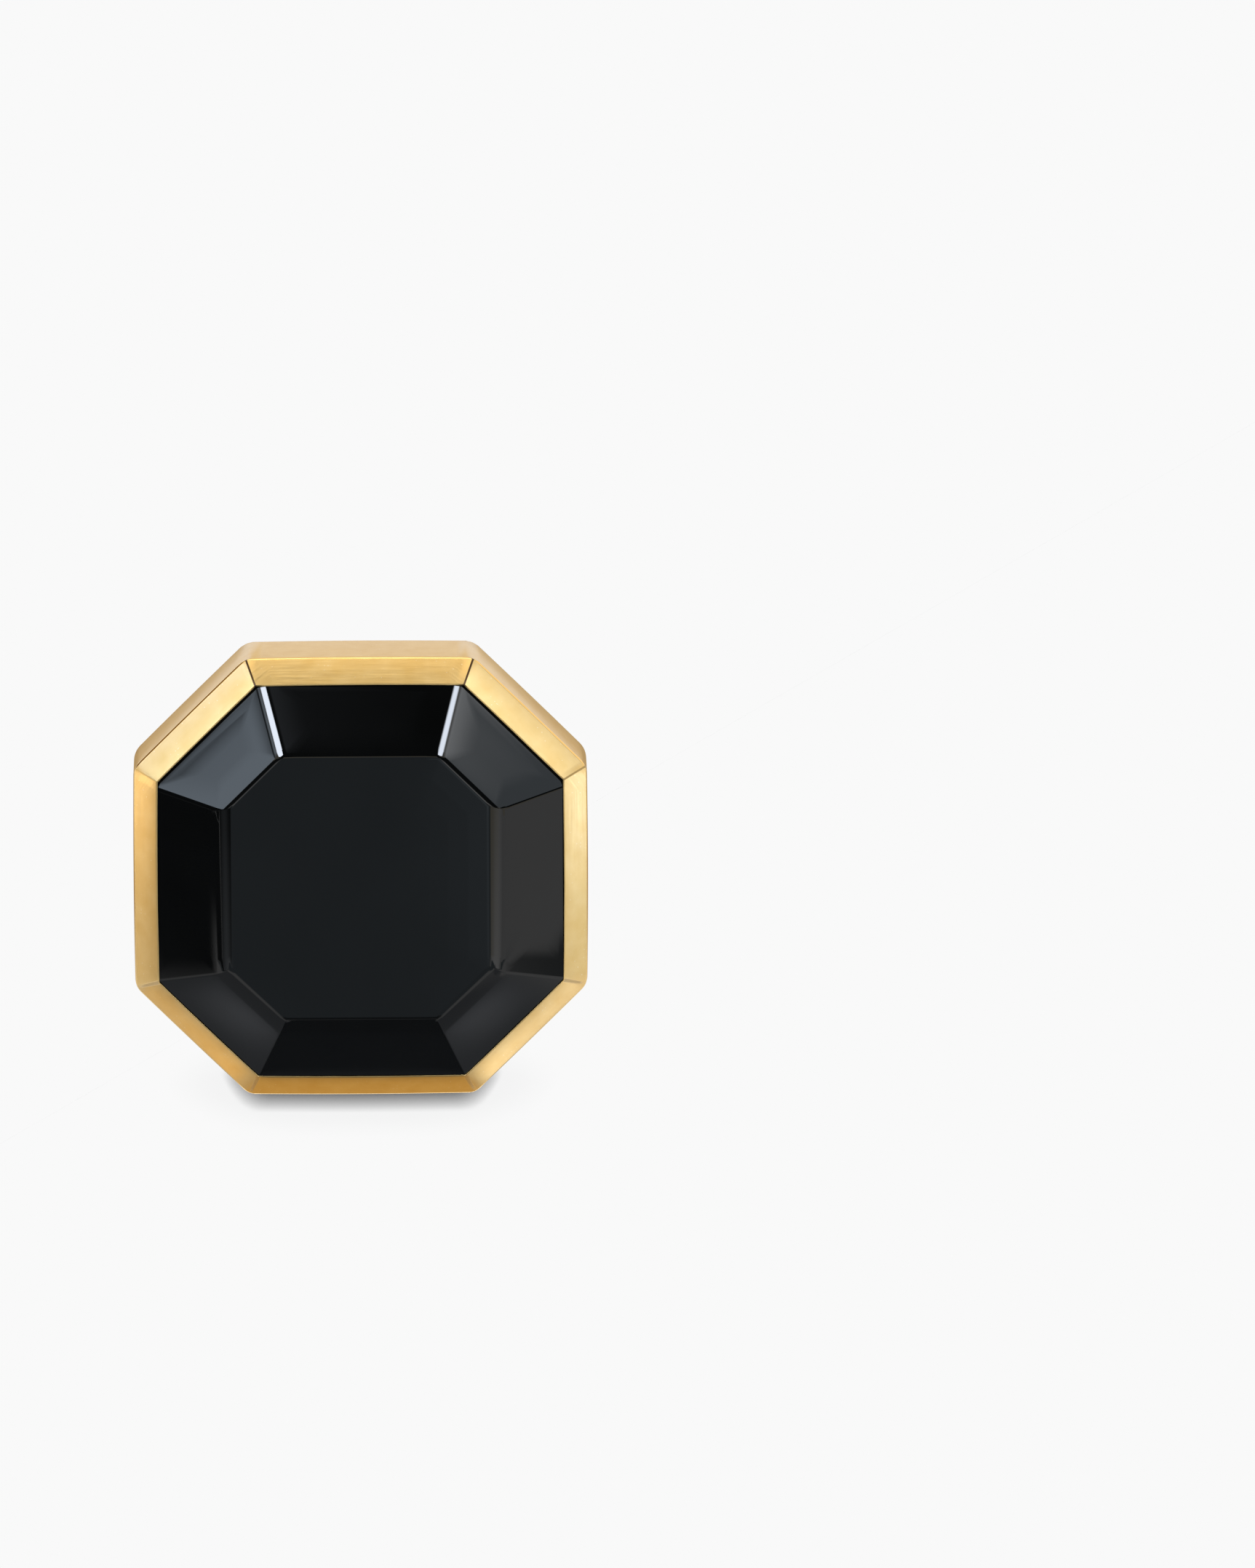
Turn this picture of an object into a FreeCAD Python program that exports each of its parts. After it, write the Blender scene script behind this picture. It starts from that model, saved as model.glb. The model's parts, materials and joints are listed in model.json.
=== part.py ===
import FreeCAD, Part
import math
import os

# A cufflink with an octagonal face: a faceted black onyx in a closed gold bezel, and a post behind it
# that carries a swivelling torpedo toggle with a sprung click.
#
# Each piece is drawn in the cufflink's own axes: X to the right, Y from the face to the back, Z up the
# face, with Y zero at the ridge between the bezel's side wall and its sloping front rim.
# The whole is then leaned back until it rests on the bezel's rear lower edge and the toggle's tip.
# All sizes are in millimetres.

# Outline of the face: a square with cut corners
face_width = 16.0
corner_cut = 3.98

# Bezel: side wall, and a front rim that slopes up to the stone
wall_depth = 2.70
rim_width = 0.86
rim_rise = 0.62
lip_land = 0.05
corner_radius = 0.60
back_edge_radius = 0.50

# Stone: a table a little taller than wide, crown facets, a steep bevel under the lip and a girdle
side_crown_width = 2.34
upper_crown_width = 2.18
crown_rise = 1.40
table_corner_cut = 2.02
bevel_width = 0.20
bevel_height = 0.45
girdle_height = 0.60
facet_edge_radius = 0.60
setting_clearance = 0.02

# Inside of the head and its back plate
seat_width = 1.10
plate_thickness = 0.70
solder_clearance = 0.02

# Foot pad that passes through the back plate and carries the yoke
foot_stand = 0.50
foot_margin = 0.12
foot_edge_radius = 0.20

# Yoke: a strip bent to a U, with a round eye at the end of each arm
post_reach = 11.0
strip_thickness = 0.90
strip_foot_width = 4.0
strip_bend_radius = 0.60
strip_edge_radius = 0.15
eye_wall = 0.80

# Pivot pin: a rod riveted in the eyes, with four flats in its middle for the click
pin_radius = 0.80
pin_flat_depth = 0.10
pin_flat_end_gap = 0.10
pin_fit = 0.01
rivet_overhang = 0.35
rivet_height = 0.35

# Toggle: a tube with a domed cap in each end, turning on two bushes
toggle_length = 15.0
barrel_radius = 2.25
barrel_wall = 0.50
cap_skirt = 0.45
cap_spigot_length = 1.0
cap_spigot_wall = 0.35
cap_crown_thickness = 1.45
seam_chamfer = 0.08
bush_wall = 0.42
bush_stand = 0.12
bush_inner_reach = 0.43
running_fit = 0.03
thrust_clearance = 0.05

# Click: a plunger that a coil spring presses against the flats of the pin
plunger_clearance = 0.02
plunger_fit = 0.05
plunger_nose_clearance = 0.27
plunger_shoulder_clearance = 0.32
plunger_guide_length = 0.80
plunger_peg_clearance = 0.26
plunger_peg_length = 0.60
spring_wire_radius = 0.17
spring_side_clearance = 0.06
spring_end_clearance = 0.02
spring_turns = 4

# How far a cutting shape runs past what it cuts
cut_overrun = 1.0

# Share of its wall that a rounded edge may take up
edge_wall_share = 0.85

# Edges nearer than this to a plane lie on it
same_place = 0.001

# Depths in the head, along Y
table_y = -rim_rise - crown_rise
lip_y = -rim_rise
girdle_y = lip_y + bevel_height
stone_back_y = girdle_y + girdle_height
plate_front_y = wall_depth - plate_thickness
foot_back_y = wall_depth + foot_stand
pivot_y = wall_depth + post_reach

# Insets from the outline of the face
cavity_inset = rim_width - bevel_width
seat_outer_inset = cavity_inset + solder_clearance
seat_inner_inset = seat_outer_inset + seat_width

# Rounding of the bezel's back edge, kept within its wall
back_rounding = min(back_edge_radius, cavity_inset * edge_wall_share)

# Radii and heights around the pivot
barrel_bore_radius = barrel_radius - barrel_wall
bush_bore_radius = pin_radius + running_fit
bush_radius = bush_bore_radius + bush_wall
bush_outer_z = barrel_radius + bush_stand
bush_inner_z = barrel_bore_radius - bush_inner_reach
arm_inner_z = bush_outer_z + thrust_clearance
arm_outer_z = arm_inner_z + strip_thickness
eye_radius = pin_radius + eye_wall
foot_radius = math.hypot(strip_foot_width / 2, arm_outer_z) + foot_margin

# Lengths in the toggle, measured from the pivot along the barrel
barrel_half_length = toggle_length / 2 - barrel_radius - cap_skirt
dome_base = toggle_length / 2 - barrel_radius
spigot_end = barrel_half_length - cap_spigot_length
cap_bore_end = toggle_length / 2 - cap_crown_thickness
cap_spigot_radius = barrel_bore_radius - solder_clearance
cap_bore_radius = cap_spigot_radius - cap_spigot_wall
plunger_face = pin_radius + plunger_clearance
plunger_shoulder = bush_radius + plunger_shoulder_clearance
plunger_back = plunger_shoulder + plunger_guide_length
coil_radius = cap_bore_radius - spring_side_clearance - spring_wire_radius
plunger_peg_radius = coil_radius - spring_wire_radius - plunger_peg_clearance

origin = FreeCAD.Vector(0, 0, 0)
along_x = FreeCAD.Vector(1, 0, 0)
along_y = FreeCAD.Vector(0, 1, 0)
along_z = FreeCAD.Vector(0, 0, 1)
pivot = FreeCAD.Vector(0, pivot_y, 0)
full_turn = 360
sharp_angle = math.radians(30)


def straight_edges(points):
    """Straight edges from each point to the next."""
    return [Part.LineSegment(a, b).toShape() for a, b in zip(points, points[1:])]


def cut_rectangle(half_x, half_z, corner, y):
    """The outline of a rectangle with its corners cut off at 45 degrees, at a depth."""
    corner_x = half_x - corner
    corner_z = half_z - corner
    points = []
    for side in (1, -1):
        points.append(FreeCAD.Vector(-side * corner_x, y, side * half_z))
        points.append(FreeCAD.Vector(side * corner_x, y, side * half_z))
        points.append(FreeCAD.Vector(side * half_x, y, side * corner_z))
        points.append(FreeCAD.Vector(side * half_x, y, -side * corner_z))
    return Part.Wire(straight_edges(points + points[:1]))


def octagon(inset, y):
    """The face's outline, drawn in by an inset, at a depth."""
    half = face_width / 2 - inset
    return cut_rectangle(half, half, corner_cut - inset * (2 - math.sqrt(2)), y)


def octagon_block(inset, front_y, back_y):
    """A straight block of the octagon's outline between two depths."""
    return Part.Face(octagon(inset, front_y)).extrude(along_y * (back_y - front_y))


def facets(*outlines):
    """A solid with flat facets from each octagon to the next."""
    return Part.makeLoft(list(outlines), True, True)


def rod(radius, start, end, axis, through=origin):
    """A round bar between two distances along an axis."""
    return Part.makeCylinder(radius, end - start, through + axis * start, axis)


def box_between(low, high):
    """A block between two corners."""
    size = high - low
    return Part.makeBox(size.x, size.y, size.z, low)


def turned(edges):
    """A piece turned on the barrel's axis from the half outline that its edges close."""
    face = Part.Face(Part.Wire(edges))
    return face.revolve(pivot, along_y, full_turn)


def on_barrel(radius, distance):
    """A point of a half outline: a radius, and a distance from the pivot along the barrel."""
    return FreeCAD.Vector(radius, pivot_y + distance, 0)


def sharp_edges(shape):
    """The edges of a shape where its two faces meet at an angle."""
    found = []
    for edge in shape.Edges:
        middle = edge.valueAt((edge.FirstParameter + edge.LastParameter) / 2)
        normals = []
        for face in shape.ancestorsOfType(edge, Part.Face):
            normals.append(face.normalAt(*face.Surface.parameter(middle)))
        if normals[0].getAngle(normals[-1]) > sharp_angle:
            found.append(edge)
    return found


def make_bezel():
    """Side wall with rounded corners, its front cut to eight sloping facets, hollow for the stone."""
    wall = octagon_block(0, lip_y - cut_overrun, wall_depth)

    def runs_back(edge):
        return abs(edge.tangentAt(edge.FirstParameter).dot(along_y)) > math.cos(sharp_angle)

    wall = wall.makeFillet(corner_radius, [e for e in wall.Edges if runs_back(e)])

    facet_width = rim_width - lip_land
    rim_slope = rim_rise / facet_width
    trim_back_y = wall_depth + cut_overrun
    trim = facets(octagon(facet_width, lip_y), octagon(-trim_back_y / rim_slope, trim_back_y))
    shell = wall.common(trim)

    bevel_slope = bevel_height / bevel_width
    mouth_inset = rim_width + cut_overrun / bevel_slope
    under_lip = facets(octagon(mouth_inset, lip_y - cut_overrun), octagon(cavity_inset, girdle_y))
    hollow = octagon_block(cavity_inset, girdle_y, wall_depth + cut_overrun)

    back_edges = [e for e in shell.Edges if abs(e.BoundBox.YMin - wall_depth) < same_place]
    return shell.makeFillet(back_rounding, back_edges).cut(under_lip.fuse(hollow))


def make_onyx_stone():
    """Table and eight crown facets with softly polished edges, the bevel under the lip, and the girdle."""
    girdle_inset = cavity_inset + setting_clearance
    table_x = face_width / 2 - rim_width - side_crown_width
    table_z = face_width / 2 - rim_width - upper_crown_width
    stone = facets(
        cut_rectangle(table_x, table_z, table_corner_cut, table_y),
        octagon(rim_width + setting_clearance, lip_y),
        octagon(girdle_inset, girdle_y),
        octagon(girdle_inset, stone_back_y),
    )
    crown_edges = [e for e in stone.Edges if e.BoundBox.YMin < table_y + same_place]
    return stone.makeFillet(facet_edge_radius, crown_edges)


def make_stone_seat():
    """Ring inside the bezel that the stone's back rests on."""
    ring = octagon_block(seat_outer_inset, stone_back_y, plate_front_y)
    opening = octagon_block(seat_inner_inset, stone_back_y - cut_overrun, plate_front_y + cut_overrun)
    return ring.cut(opening)


def make_setting_cement():
    """Cement that backs the stone and fills the seat ring."""
    return octagon_block(seat_inner_inset + solder_clearance, stone_back_y, plate_front_y)


def make_back_plate():
    """Plate that closes the bezel from behind, flush with it, with a round hole for the foot."""
    plate = octagon_block(seat_outer_inset, plate_front_y, wall_depth)
    hole_radius = foot_radius + solder_clearance
    return plate.cut(rod(hole_radius, plate_front_y - cut_overrun, wall_depth + cut_overrun, along_y))


def make_post_foot():
    """Round pad through the back plate, its rear edge rounded."""
    pad = rod(foot_radius, plate_front_y, foot_back_y, along_y)
    rear_edge = [e for e in pad.Edges if abs(e.BoundBox.YMin - foot_back_y) < same_place]
    return pad.makeFillet(foot_edge_radius, rear_edge)


def make_post_yoke():
    """Strip bent to a U that tapers from the foot to a round eye on each arm."""
    eye_end_y = pivot_y + eye_radius
    half_width = strip_foot_width / 2
    bar = box_between(
        FreeCAD.Vector(-half_width, foot_back_y, -arm_outer_z),
        FreeCAD.Vector(half_width, eye_end_y, arm_outer_z),
    )
    gap = box_between(
        FreeCAD.Vector(-half_width - cut_overrun, foot_back_y + strip_thickness, -arm_inner_z),
        FreeCAD.Vector(half_width + cut_overrun, eye_end_y + cut_overrun, arm_inner_z),
    )

    def bend_edges(block, y):
        across = [e for e in block.Edges if e.BoundBox.XLength > strip_foot_width / 2]
        return [e for e in across if e.BoundBox.YMax < y + same_place and e.BoundBox.ZLength < same_place]

    bar = bar.makeFillet(strip_bend_radius + strip_thickness, bend_edges(bar, foot_back_y))
    gap = gap.makeFillet(strip_bend_radius, bend_edges(gap, foot_back_y + strip_thickness))

    foot_distance = math.hypot(half_width, pivot_y - foot_back_y)
    foot_angle = math.atan2(foot_back_y - pivot_y, half_width)
    tangent_angle = foot_angle + math.acos(eye_radius / foot_distance)
    side_x = eye_radius * math.cos(tangent_angle)
    side_y = pivot_y + eye_radius * math.sin(tangent_angle)
    low_z = -arm_outer_z - cut_overrun
    foot_y = foot_back_y - cut_overrun
    outline = straight_edges([
        FreeCAD.Vector(-side_x, side_y, low_z),
        FreeCAD.Vector(-half_width, foot_back_y, low_z),
        FreeCAD.Vector(-half_width, foot_y, low_z),
        FreeCAD.Vector(half_width, foot_y, low_z),
        FreeCAD.Vector(half_width, foot_back_y, low_z),
        FreeCAD.Vector(side_x, side_y, low_z),
    ])
    eye_start, eye_end = outline[-1].lastVertex().Point, outline[0].firstVertex().Point
    outline.append(Part.Arc(eye_start, FreeCAD.Vector(0, eye_end_y, low_z), eye_end).toShape())
    plan = Part.Face(Part.Wire(outline)).extrude(along_z * (2 * (arm_outer_z + cut_overrun)))

    yoke = bar.cut(gap).common(plan)
    yoke = yoke.makeFillet(strip_edge_radius, sharp_edges(yoke))
    hole_reach = arm_outer_z + cut_overrun
    return yoke.cut(rod(pin_radius + pin_fit, -hole_reach, hole_reach, along_z, pivot))


def make_pivot_pin():
    """Rod between the arms with a riveted head at each end and four flats in the middle."""
    flat_half_length = bush_inner_z - pin_flat_end_gap
    flat_distance = pin_radius - pin_flat_depth
    flats = FreeCAD.Vector(flat_distance, flat_distance, flat_half_length)
    middle = rod(pin_radius, -flat_half_length, flat_half_length, along_z, pivot)
    pin = middle.common(box_between(pivot - flats, pivot + flats))
    head_radius = pin_radius + rivet_overhang
    dome_radius = (head_radius ** 2 + rivet_height ** 2) / (2 * rivet_height)
    for up in (along_z, -along_z):
        end = rod(pin_radius, flat_half_length, arm_outer_z, up, pivot)
        dome_centre = pivot + up * (arm_outer_z + rivet_height - dome_radius)
        above_arm = rod(head_radius + cut_overrun, arm_outer_z, arm_outer_z + dome_radius, up, pivot)
        head = Part.makeSphere(dome_radius, dome_centre).common(above_arm)
        pin = pin.fuse([end, head])
    return pin.removeSplitter()


def make_toggle_barrel():
    """Tube with chamfered ends and two cross holes for the bushes."""
    end = barrel_half_length
    outline = [
        on_barrel(barrel_bore_radius, -end),
        on_barrel(barrel_radius - seam_chamfer, -end),
        on_barrel(barrel_radius, seam_chamfer - end),
        on_barrel(barrel_radius, end - seam_chamfer),
        on_barrel(barrel_radius - seam_chamfer, end),
        on_barrel(barrel_bore_radius, end),
    ]
    tube = turned(straight_edges(outline + outline[:1]))
    hole_reach = barrel_radius + cut_overrun
    return tube.cut(rod(bush_radius + solder_clearance, -hole_reach, hole_reach, along_z, pivot))


def make_cap(side):
    """Domed cap with a hollow spigot that fits the tube, for one end of the barrel (side 1 or -1)."""
    dome_start = on_barrel(barrel_radius, side * dome_base)
    diagonal = barrel_radius / math.sqrt(2)
    dome_middle = on_barrel(diagonal, side * (dome_base + diagonal))
    tip = on_barrel(0, side * toggle_length / 2)
    inside = [
        tip,
        on_barrel(0, side * cap_bore_end),
        on_barrel(cap_bore_radius, side * cap_bore_end),
        on_barrel(cap_bore_radius, side * spigot_end),
        on_barrel(cap_spigot_radius, side * spigot_end),
        on_barrel(cap_spigot_radius, side * barrel_half_length),
        on_barrel(barrel_radius - seam_chamfer, side * barrel_half_length),
        on_barrel(barrel_radius, side * (barrel_half_length + seam_chamfer)),
        dome_start,
    ]
    dome = Part.Arc(dome_start, dome_middle, tip).toShape()
    return turned(straight_edges(inside) + [dome])


def make_bush(up):
    """Bush in the barrel's cross hole, its outer end standing proud as the thrust face."""
    bush = rod(bush_radius, bush_inner_z, bush_outer_z, up, pivot)
    bore = rod(bush_bore_radius, bush_inner_z - cut_overrun, bush_outer_z + cut_overrun, up, pivot)
    return bush.cut(bore)


def make_detent_plunger():
    """Plunger with a flat nose, a guide that fits the bore and a peg that centres the spring."""
    nose_radius = bush_inner_z - plunger_nose_clearance
    guide_radius = barrel_bore_radius - plunger_fit
    outline = [
        on_barrel(0, plunger_face),
        on_barrel(nose_radius, plunger_face),
        on_barrel(nose_radius, plunger_shoulder),
        on_barrel(guide_radius, plunger_shoulder),
        on_barrel(guide_radius, plunger_back),
        on_barrel(plunger_peg_radius, plunger_back),
        on_barrel(plunger_peg_radius, plunger_back + plunger_peg_length),
        on_barrel(0, plunger_back + plunger_peg_length),
    ]
    return turned(straight_edges(outline + outline[:1]))


def arc_from(start, heading, end):
    """The arc from a point, in a heading, to an end."""
    chord = end - start
    half = chord.Length / 2
    chord.normalize()
    outward = heading - chord * heading.dot(chord)
    half_turn = math.atan2(outward.Length, heading.dot(chord))
    outward.normalize()
    middle = (start + end) / 2 + outward * (half * math.tan(half_turn / 2))
    return Part.Arc(start, middle, end).toShape()


def least_gap(path, turns):
    """The least gap between the wire's own turns, measured on points at least half a turn apart."""
    points_per_turn = 48
    points = path.discretize(turns * points_per_turn + 1)
    distances = []
    for first, a in enumerate(points):
        distances.extend(a.distanceToPoint(b) for b in points[first + points_per_turn // 2:])
    return min(distances) - 2 * spring_wire_radius


def make_detent_spring():
    """Coil spring from the plunger's back to the bottom of the rear cap's bore, one unbroken wire."""
    end_room = spring_wire_radius + spring_end_clearance
    first = plunger_back + end_room
    last = cap_bore_end - end_room
    pitch = (last - first) / spring_turns
    climb = pitch / (2 * math.pi)

    def place(turn):
        angle = 2 * math.pi * turn
        around = FreeCAD.Vector(math.cos(angle), 0, math.sin(angle)) * coil_radius
        return pivot + along_y * (first + pitch * turn) + around

    def heading(turn):
        angle = 2 * math.pi * turn
        around = FreeCAD.Vector(-math.sin(angle), 0, math.cos(angle)) * coil_radius
        return (around + along_y * climb).normalize()

    edges = []
    for step in range(spring_turns * 4):
        start, end = place(step / 4), place((step + 1) / 4)
        start_way, end_way = heading(step / 4), heading((step + 1) / 4)
        chord = end - start
        both = start_way + end_way
        spread = 2 * (1 - start_way.dot(end_way))
        ahead = chord.dot(both)
        lead = (math.sqrt(ahead ** 2 + spread * chord.dot(chord)) - ahead) / spread
        middle = (start + start_way * lead + end - end_way * lead) / 2
        edges.append(arc_from(start, start_way, middle))
        edges.append(arc_from(end, -end_way, middle))
    path = Part.Wire(Part.__sortEdges__(edges))
    print("detent spring: least gap to itself", round(least_gap(path, spring_turns), 3))
    section = Part.Wire(Part.makeCircle(spring_wire_radius, place(0), heading(0)))
    return path.makePipeShell([section], True, False)


def resting_place():
    """Lean the cufflink back onto its rear lower edge and toggle tip, and centre it over the floor."""
    edge_y = wall_depth - back_rounding
    edge_z = back_rounding - face_width / 2
    tip_y = pivot_y + dome_base
    between = math.hypot(tip_y - edge_y, edge_z)
    lean = math.atan2(-edge_z, tip_y - edge_y) - math.asin((barrel_radius - back_rounding) / between)
    turn = FreeCAD.Rotation(along_x, -math.degrees(lean))
    floor = turn.multVec(FreeCAD.Vector(0, tip_y, 0)).z - barrel_radius
    return FreeCAD.Placement(FreeCAD.Vector(0, 0, -floor), turn)


pieces = {
    "bezel": make_bezel(),
    "onyx_stone": make_onyx_stone(),
    "stone_seat": make_stone_seat(),
    "setting_cement": make_setting_cement(),
    "back_plate": make_back_plate(),
    "post_foot": make_post_foot(),
    "post_yoke": make_post_yoke(),
    "pivot_pin": make_pivot_pin(),
    "toggle_barrel": make_toggle_barrel(),
    "front_cap": make_cap(-1),
    "rear_cap": make_cap(1),
    "upper_bush": make_bush(along_z),
    "lower_bush": make_bush(-along_z),
    "detent_plunger": make_detent_plunger(),
    "detent_spring": make_detent_spring(),
}

place = resting_place()
for shape in pieces.values():
    shape.Placement = place
reach = Part.makeCompound(list(pieces.values())).optimalBoundingBox(False)
place.Base.y = -(reach.YMin + reach.YMax) / 2

os.makedirs("parts", exist_ok=True)
for name, shape in pieces.items():
    shape.Placement = place
    shape.exportStep(f"parts/{name}.step")
    print(name, "valid", shape.isValid(), "solids", len(shape.Solids), "volume", round(shape.Volume, 3))
print("pivot", place.multVec(pivot))
print("pin axis", place.Rotation.multVec(along_z))
print("post axis", place.Rotation.multVec(along_y))
print("back plate rear", place.multVec(FreeCAD.Vector(0, wall_depth, 0)))
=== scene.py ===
import json
import math

import bmesh
import bpy
from mathutils import Matrix, Vector


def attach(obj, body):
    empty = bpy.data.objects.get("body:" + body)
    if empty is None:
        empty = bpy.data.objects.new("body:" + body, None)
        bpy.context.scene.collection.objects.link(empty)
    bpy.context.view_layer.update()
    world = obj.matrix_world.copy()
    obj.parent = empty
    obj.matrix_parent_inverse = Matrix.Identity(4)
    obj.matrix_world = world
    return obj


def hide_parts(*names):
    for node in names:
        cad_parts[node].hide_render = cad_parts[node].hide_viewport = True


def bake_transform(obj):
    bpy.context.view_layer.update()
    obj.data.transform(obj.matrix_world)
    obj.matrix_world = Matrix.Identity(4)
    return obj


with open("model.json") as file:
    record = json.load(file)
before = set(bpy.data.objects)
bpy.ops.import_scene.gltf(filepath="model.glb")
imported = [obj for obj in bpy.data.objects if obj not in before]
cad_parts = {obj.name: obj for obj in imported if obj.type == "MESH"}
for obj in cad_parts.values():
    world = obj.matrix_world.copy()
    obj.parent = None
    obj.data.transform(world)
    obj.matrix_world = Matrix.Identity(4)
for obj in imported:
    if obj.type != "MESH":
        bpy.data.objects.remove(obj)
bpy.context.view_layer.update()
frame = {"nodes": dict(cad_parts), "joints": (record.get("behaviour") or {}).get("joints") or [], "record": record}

# Bezel: the closed setting that shows all round the stone. A brass strip with slightly bowed sides is mitred
# and soldered to an octagon, its front is filed to a sloping rim and the lip is burnished onto the stone.
# It is plated with yellow gold and brushed along its sides to a satin finish.
mm = 0.001
same_length = 0.001 * mm
face_width = 16.0 * mm
corner_cut = 3.98 * mm
diagonal_half = (face_width - corner_cut) / math.sqrt(2)
half_corner = math.radians(22.5)
bow_share = 0.035
bow = 0.03 * mm
wall_depth = 2.70 * mm
rim_width = 0.86 * mm
rim_rise = 0.62 * mm
lip_land = 0.05 * mm
lip_half = face_width / 2 - rim_width - bow
under_lip = 0.20 * mm
under_lip_depth = 0.45 * mm
back_edge_round = 0.50 * mm
wall_corner_round = 0.28 * mm
ridge_round = 0.08 * mm
lip_round = 0.018 * mm
mitre_round = 0.045 * mm
lower_mitre_round = 0.10 * mm
bezel_round_steps = 5
shortest_side = 3.0 * mm
side_cuts = 23
lip_foot = rim_rise - 1.01 * lip_round
lip_slack = 0.02 * mm
lip_wave = 0.011 * mm
lip_wave_length = 1.1 * mm
polish_reach = 0.85 * ridge_round
# Reach and strength of the painted shade in the mitre creases.
mitre_shade_reach = 0.8 * mitre_round
top_mitre_shade_share = 1.0
right_mitre_shade_share = 0.5


def pick(kind, wanted):
    """Select the vertices, edges or faces of the mesh in edit mode that are wanted."""
    bpy.ops.mesh.select_mode(type=kind)
    bpy.ops.mesh.select_all(action="DESELECT")
    mesh = bmesh.from_edit_mesh(bpy.context.object.data)
    for part in {"VERT": mesh.verts, "EDGE": mesh.edges, "FACE": mesh.faces}[kind]:
        part.select_set(bool(wanted(part)))
    mesh.select_flush_mode()
    bmesh.update_edit_mesh(bpy.context.object.data)


def heights(edge):
    """The lower and the higher Z of an edge."""
    return sorted(vertex.co.z for vertex in edge.verts)


def near(a, b):
    """Whether two lengths are the same to a thousandth of a millimetre."""
    return abs(a - b) < same_length


def apply_modifier(kind, **settings):
    """Put a modifier on the piece in hand and apply it."""
    modifier = bpy.context.object.modifiers.new(kind.title(), kind)
    for name, value in settings.items():
        setattr(modifier, name, value)
    bpy.ops.object.modifier_apply(modifier=modifier.name)


def soften(edge_rounds, segments):
    """Round sets of edges, each with its own setback, in one go, and leave edit mode."""
    widest = max(setback for setback, wanted in edge_rounds)
    for setback, wanted in edge_rounds:
        pick("EDGE", wanted)
        bpy.ops.transform.edge_bevelweight(value=setback / widest)
    bpy.ops.object.mode_set(mode="OBJECT")
    apply_modifier("BEVEL", width=widest, segments=segments, limit_method="WEIGHT", use_clamp_overlap=False)


def octagon(width, height, upper_cut, lower_cut, z):
    """Add a flat octagon to the bench: a plate with its upper and its lower corners cut off."""
    bpy.ops.mesh.primitive_plane_add(size=1)
    if bpy.context.object.mode == "OBJECT":
        bpy.ops.object.mode_set(mode="EDIT")
    bpy.ops.transform.resize(value=(width, height, 1), center_override=(0, 0, 0))
    for side, cut in ((1, upper_cut), (-1, lower_cut)):
        x, y = width / 2, side * height / 2
        pick("VERT", lambda v: v.co.z == 0 and near(abs(v.co.x), x) and near(v.co.y, y))
        bpy.ops.mesh.bevel(offset_type="ABSOLUTE", offset=cut, affect="VERTICES")
    pick("FACE", lambda face: all(v.co.z == 0 for v in face.verts))
    bpy.ops.transform.translate(value=(0, 0, z))


def new_bench():
    """Put the last piece aside, so that what is added next is a piece of its own."""
    bpy.ops.object.select_all(action="DESELECT")
    bpy.context.view_layer.objects.active = None


def raise_face(height):
    """Extrude the selected face straight up the bench."""
    bpy.ops.mesh.extrude_region_move(TRANSFORM_OT_translate={"value": (0, 0, height)})


# The head is made face up on the bench, with the ridge of the bezel at height zero. The record's mount on
# the back plate tells how the finished head leans in the frame.
seat = frame["record"]["mounts"][0]
post_axis = Vector(seat["axis"])
up_axis = Vector(frame["joints"][0]["axis"])
ridge_centre = Vector((0, *seat["pos_m"][1:])) - post_axis * wall_depth
bench_to_frame = Matrix((Vector((1, 0, 0)), up_axis, -post_axis)).transposed().to_4x4()
bench_to_frame.translation = ridge_centre
lean = math.asin(-post_axis.z)


def set_in_frame(name, replaced):
    """Turn the piece in hand from the bench into the frame, and say what it stands for."""
    piece = bpy.context.object
    piece.name = name
    piece.data.name = name
    piece.matrix_world = bench_to_frame
    bpy.ops.object.transform_apply(location=True, rotation=True, scale=True)
    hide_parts(replaced)
    return piece


new_bench()
octagon(face_width, face_width, corner_cut, corner_cut, -wall_depth)
bezel = bpy.context.object
raise_face(wall_depth)
bpy.ops.mesh.inset(thickness=rim_width + bow - lip_land, depth=rim_rise)
bpy.ops.mesh.inset(thickness=lip_land)
raise_face(-under_lip_depth)
spread = (lip_half + under_lip) / lip_half
bpy.ops.transform.resize(value=(spread, spread, 1), center_override=(0, 0, rim_rise))
raise_face(-wall_depth - rim_rise + under_lip_depth)
pick("FACE", lambda f: all(near(v.co.z, -wall_depth) for v in f.verts))
bpy.ops.mesh.delete(type="ONLY_FACE")
pick("EDGE", lambda edge: edge.is_boundary)
bpy.ops.mesh.bridge_edge_loops()
bpy.ops.mesh.select_all(action="SELECT")
bpy.ops.mesh.normals_make_consistent(inside=False)


def reach(vertex):
    """How far a vertex lies outside the nearest side of the octagon. Inside it is less than zero."""
    across = max(abs(vertex.co.x), abs(vertex.co.y))
    diagonal = (abs(vertex.co.x) + abs(vertex.co.y)) / math.sqrt(2)
    return max(across - face_width / 2, diagonal - diagonal_half)


def on_outline(edge):
    """Whether an edge lies on the outer wall."""
    return all(near(reach(vertex), 0) for vertex in edge.verts)


def at_lip(edge):
    """Whether an edge bounds the narrow land on top of the lip."""
    return near(heights(edge)[0], rim_rise) and all(reach(v) < 2 * lip_land - rim_width for v in edge.verts)


def along_side(edge):
    """Whether an edge is long enough to run along a side."""
    return edge.calc_length() > shortest_side


def at_mitre(edge):
    """Whether an edge goes up the sloping rim at a corner."""
    return near(heights(edge)[0], 0) and near(heights(edge)[1], rim_rise)


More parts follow.
